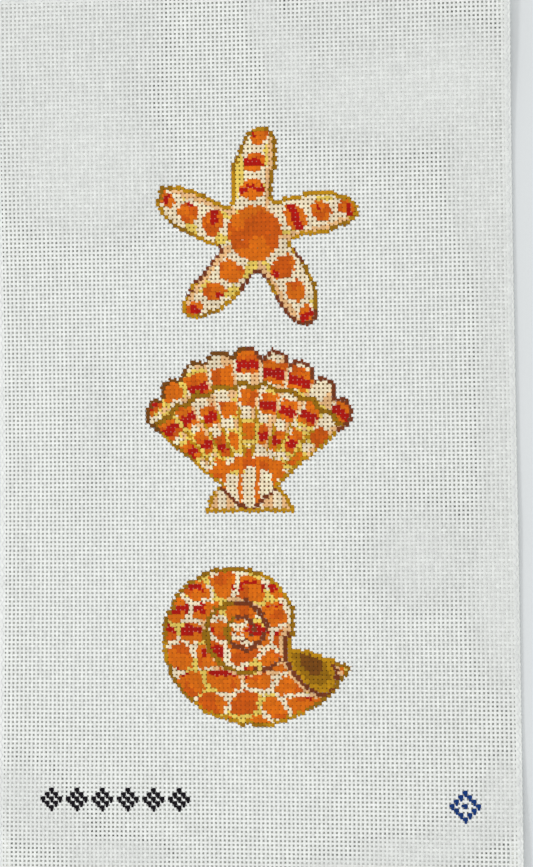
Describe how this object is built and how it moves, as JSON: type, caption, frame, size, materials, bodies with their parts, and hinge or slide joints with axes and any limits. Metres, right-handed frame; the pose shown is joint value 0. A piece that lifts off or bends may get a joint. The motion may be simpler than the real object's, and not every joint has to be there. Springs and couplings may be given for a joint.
{
  "type": "painted needlepoint canvas",
  "caption": "Rectangular open-mesh cotton canvas for needlepoint, hemmed and stitched all round, lying flat with a hand-painted seashore design on its upper face.",
  "frame": {"origin": "centre of the canvas's footprint, on the surface that it lies on", "axes": "+Y towards the design's top edge, +X to its right, +Z out of the painted face"},
  "size_m": [0.2398, 0.4118, 0.005],
  "materials": {
    "canvas_cotton": "starched white cotton mono canvas, matt, with opaque matt paint on the design's threads",
    "sewing_thread": "white twisted sewing thread with a slight sheen"
  },
  "bodies": {
    "root": {"canvas": "canvas_cotton", "hem_stitching": "sewing_thread"}
  },
  "joints": []
}
